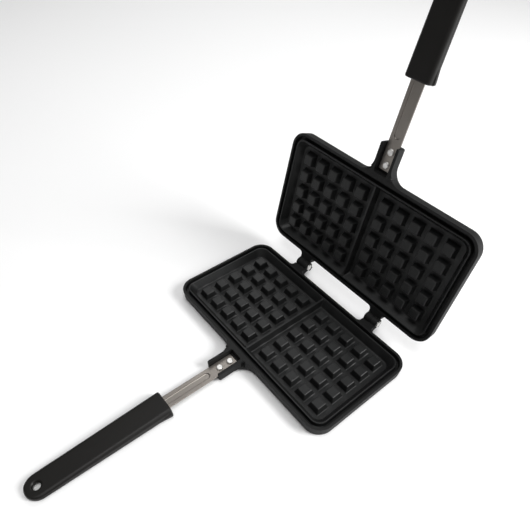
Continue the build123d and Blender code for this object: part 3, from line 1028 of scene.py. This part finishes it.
def build_grip(s):
    """The moulded grip, drawn out section by section, with its dished hanging hole."""
    y = near = GRIP_HIGH.y - s.end_round
    seam = start_grip_section(s, y)
    low, high = grip_heights(s, y)
    widen_lower_half(y, low + (high - low) * seam, grip_flare(s, y))
    for station in grip_stations(s, near):
        new_low, new_high = grip_heights(s, station)
        wide = grip_half_width(s, station) / grip_half_width(s, y)
        tall = (new_high - new_low) / (high - low)
        extrude((0, station - y, 0))
        scale_about((wide, 1, tall), (0, station, low))
        move((0, 0, new_low - low))
        low, high = new_low, new_high
        widen_lower_half(station, low + (high - low) * seam,
                         grip_flare(s, station) / grip_flare(s, y))
        y = station
    round_near_end(s, near)
    grip = cut(done(), hanging_hole(s))
    soften(grip, GRIP_EDGE, sharp=40)
    return grip


def build_pin(s, low, high):
    """A headed hinge pin with a rounded head and a peened tail."""
    start_round("pin", s.shank, HINGE, low + s.head_thickness, high - s.head_thickness, "X")
    widen = s.head / s.shank
    for side, end in ((-1, low), (1, high)):
        seat = end - side * s.head_thickness
        pick("FACE", lambda face: face.normal.x * side > 0.9
             and abs(middle_of(face).x - seat) < SAME)
        extrude((0, 0, 0))
        scale_about((1, widen, widen), HINGE)
        extrude((side * s.head_thickness, 0, 0))
        pick("EDGE", lambda edge: all(abs(vert.co.x - end) < SAME for vert in edge.verts))
        round_off(s.head_thickness * PIN_ROUND, 5)
    pin = done()
    shade(pin)
    return pin


# --- operators ------------------------------------------------------------------------
class WAFFLE_OT_castings(Operator):
    """Build the two cast halves"""
    bl_idname = "waffle.castings"
    bl_label = "Build Cast Halves"

    def execute(self, context):
        s = context.scene.waffle_casting
        hand_over_both(build_casting(s), "upper_casting",
                       lambda half: nonstick_casting(f"{half} nonstick casting", s, HALVES[half]),
                       "pan")
        return {"FINISHED"}


class WAFFLE_OT_strips(Operator):
    """Build the two stamped handle strips"""
    bl_idname = "waffle.strips"
    bl_label = "Build Handle Strips"

    def execute(self, context):
        s = context.scene.waffle_strip
        hand_over_both(build_strip(s), "upper_strip",
                       lambda half: satin_steel(f"{half} strip steel", s, HALVES[half]),
                       "handle_strip")
        return {"FINISHED"}


class WAFFLE_OT_rivets(Operator):
    """Build the four handle rivets"""
    bl_idname = "waffle.rivets"
    bl_label = "Build Rivets"

    def execute(self, context):
        s = context.scene.waffle_rivet
        aluminium = bright_aluminium(s)
        for name, place in zip(("inner", "outer"), RIVET_PLACES):
            rivet = build_rivet(s, place)
            rivet.name = f"lower_{name}_rivet_head"
            hand_over_both(rivet, f"upper_{name}_rivet_head", lambda half: aluminium,
                           f"{name}_rivet")
        return {"FINISHED"}


class WAFFLE_OT_grips(Operator):
    """Build the two moulded grips"""
    bl_idname = "waffle.grips"
    bl_label = "Build Grips"

    def execute(self, context):
        s = context.scene.waffle_grip
        phenolic = moulded_phenolic(s)
        hand_over_both(build_grip(s), "upper_grip_moulding", lambda half: phenolic,
                       "grip")
        return {"FINISHED"}


class WAFFLE_OT_pins(Operator):
    """Build the two hinge pins"""
    bl_idname = "waffle.pins"
    bl_label = "Build Hinge Pins"

    def execute(self, context):
        s = context.scene.waffle_pin
        steel = turned_steel(s)
        for side, (low, high) in zip(("left", "right"), PIN_SPANS):
            pin = build_pin(s, low, high)
            pin.name = f"{side}_pin"
            hand_over(pin, steel, "lower_half", f"{side}_hinge_pin")
        return {"FINISHED"}


# name, place, width in metres and power in watts of each softbox
LIGHTS = (("key", (1.25, 0.8, 1.05), 0.8, 32),
          ("back_left", (-1.15, 0.85, 1.45), 1.1, 8),
          ("overhead", (0.2, -0.2, 2.4), 1.4, 24))
LIGHTS_AIM = Vector((0, 0, 0.05))
FLOOR_SIZE = 12
NEAREST_SEEN = 0.01         # the camera's near clipping distance


def add_light(name, place, size, power):
    """A square softbox that faces the pan."""
    light = bpy.data.lights.new(name, "AREA")
    light.shape = "SQUARE"
    light.size = size
    light.energy = power
    lamp = bpy.data.objects.new(name, light)
    lamp.location = place
    lamp.rotation_euler = (Vector(place) - LIGHTS_AIM).to_track_quat("Z", "Y").to_euler()
    bpy.context.scene.collection.objects.link(lamp)


class WAFFLE_OT_stage(Operator):
    """Lay the floor and set the lights and the camera"""
    bl_idname = "waffle.stage"
    bl_label = "Set Stage"

    def execute(self, context):
        s = context.scene.waffle_stage
        bpy.ops.object.select_all(action="DESELECT")
        bpy.ops.mesh.primitive_plane_add(size=FLOOR_SIZE, location=(0, 0, 0))
        floor = context.object
        floor.name = "floor"
        floor.data.materials.append(pale_floor(s))
        world = bpy.data.worlds.new("studio")
        world.use_nodes = True
        background = world.node_tree.nodes["Background"]
        background.inputs["Color"].default_value = (1, 1, 1, 1)
        background.inputs["Strength"].default_value = s.room
        context.scene.world = world
        for softbox in LIGHTS:
            add_light(*softbox)
        camera = bpy.data.objects.new("camera", bpy.data.cameras.new("camera"))
        camera.location = s.place
        camera.rotation_euler = Euler(s.angles)
        camera.data.lens = s.lens
        camera.data.shift_x, camera.data.shift_y = s.shift
        camera.data.clip_start = NEAREST_SEEN
        context.scene.collection.objects.link(camera)
        context.scene.camera = camera
        context.scene.view_settings.view_transform = "Standard"
        return {"FINISHED"}


OPERATORS = (WAFFLE_OT_castings, WAFFLE_OT_strips, WAFFLE_OT_rivets, WAFFLE_OT_grips,
             WAFFLE_OT_pins, WAFFLE_OT_stage)


class WAFFLE_PT_sidebar(Panel):
    """The waffle pan's pieces, in the order they are built"""
    bl_idname = "WAFFLE_PT_sidebar"
    bl_label = "Waffle Pan"
    bl_space_type = "VIEW_3D"
    bl_region_type = "UI"
    bl_category = "Waffle Pan"

    def draw(self, context):
        for step in OPERATORS:
            self.layout.operator(step.bl_idname)


CLASSES = (*SETTINGS.values(), *OPERATORS, WAFFLE_PT_sidebar)


def register():
    """Register the classes and hang the settings on the scene."""
    for part in CLASSES:
        bpy.utils.register_class(part)
    for name, group in SETTINGS.items():
        setattr(bpy.types.Scene, name, PointerProperty(type=group))


def unregister():
    """Undo what register does."""
    for name in SETTINGS:
        delattr(bpy.types.Scene, name)
    for part in reversed(CLASSES):
        bpy.utils.unregister_class(part)


def main():
    """Build everything."""
    register()
    bpy.ops.waffle.castings()
    bpy.ops.waffle.strips()
    bpy.ops.waffle.rivets()
    bpy.ops.waffle.grips()
    bpy.ops.waffle.pins()
    bpy.ops.waffle.stage()


if __name__ == "__main__":
    main()
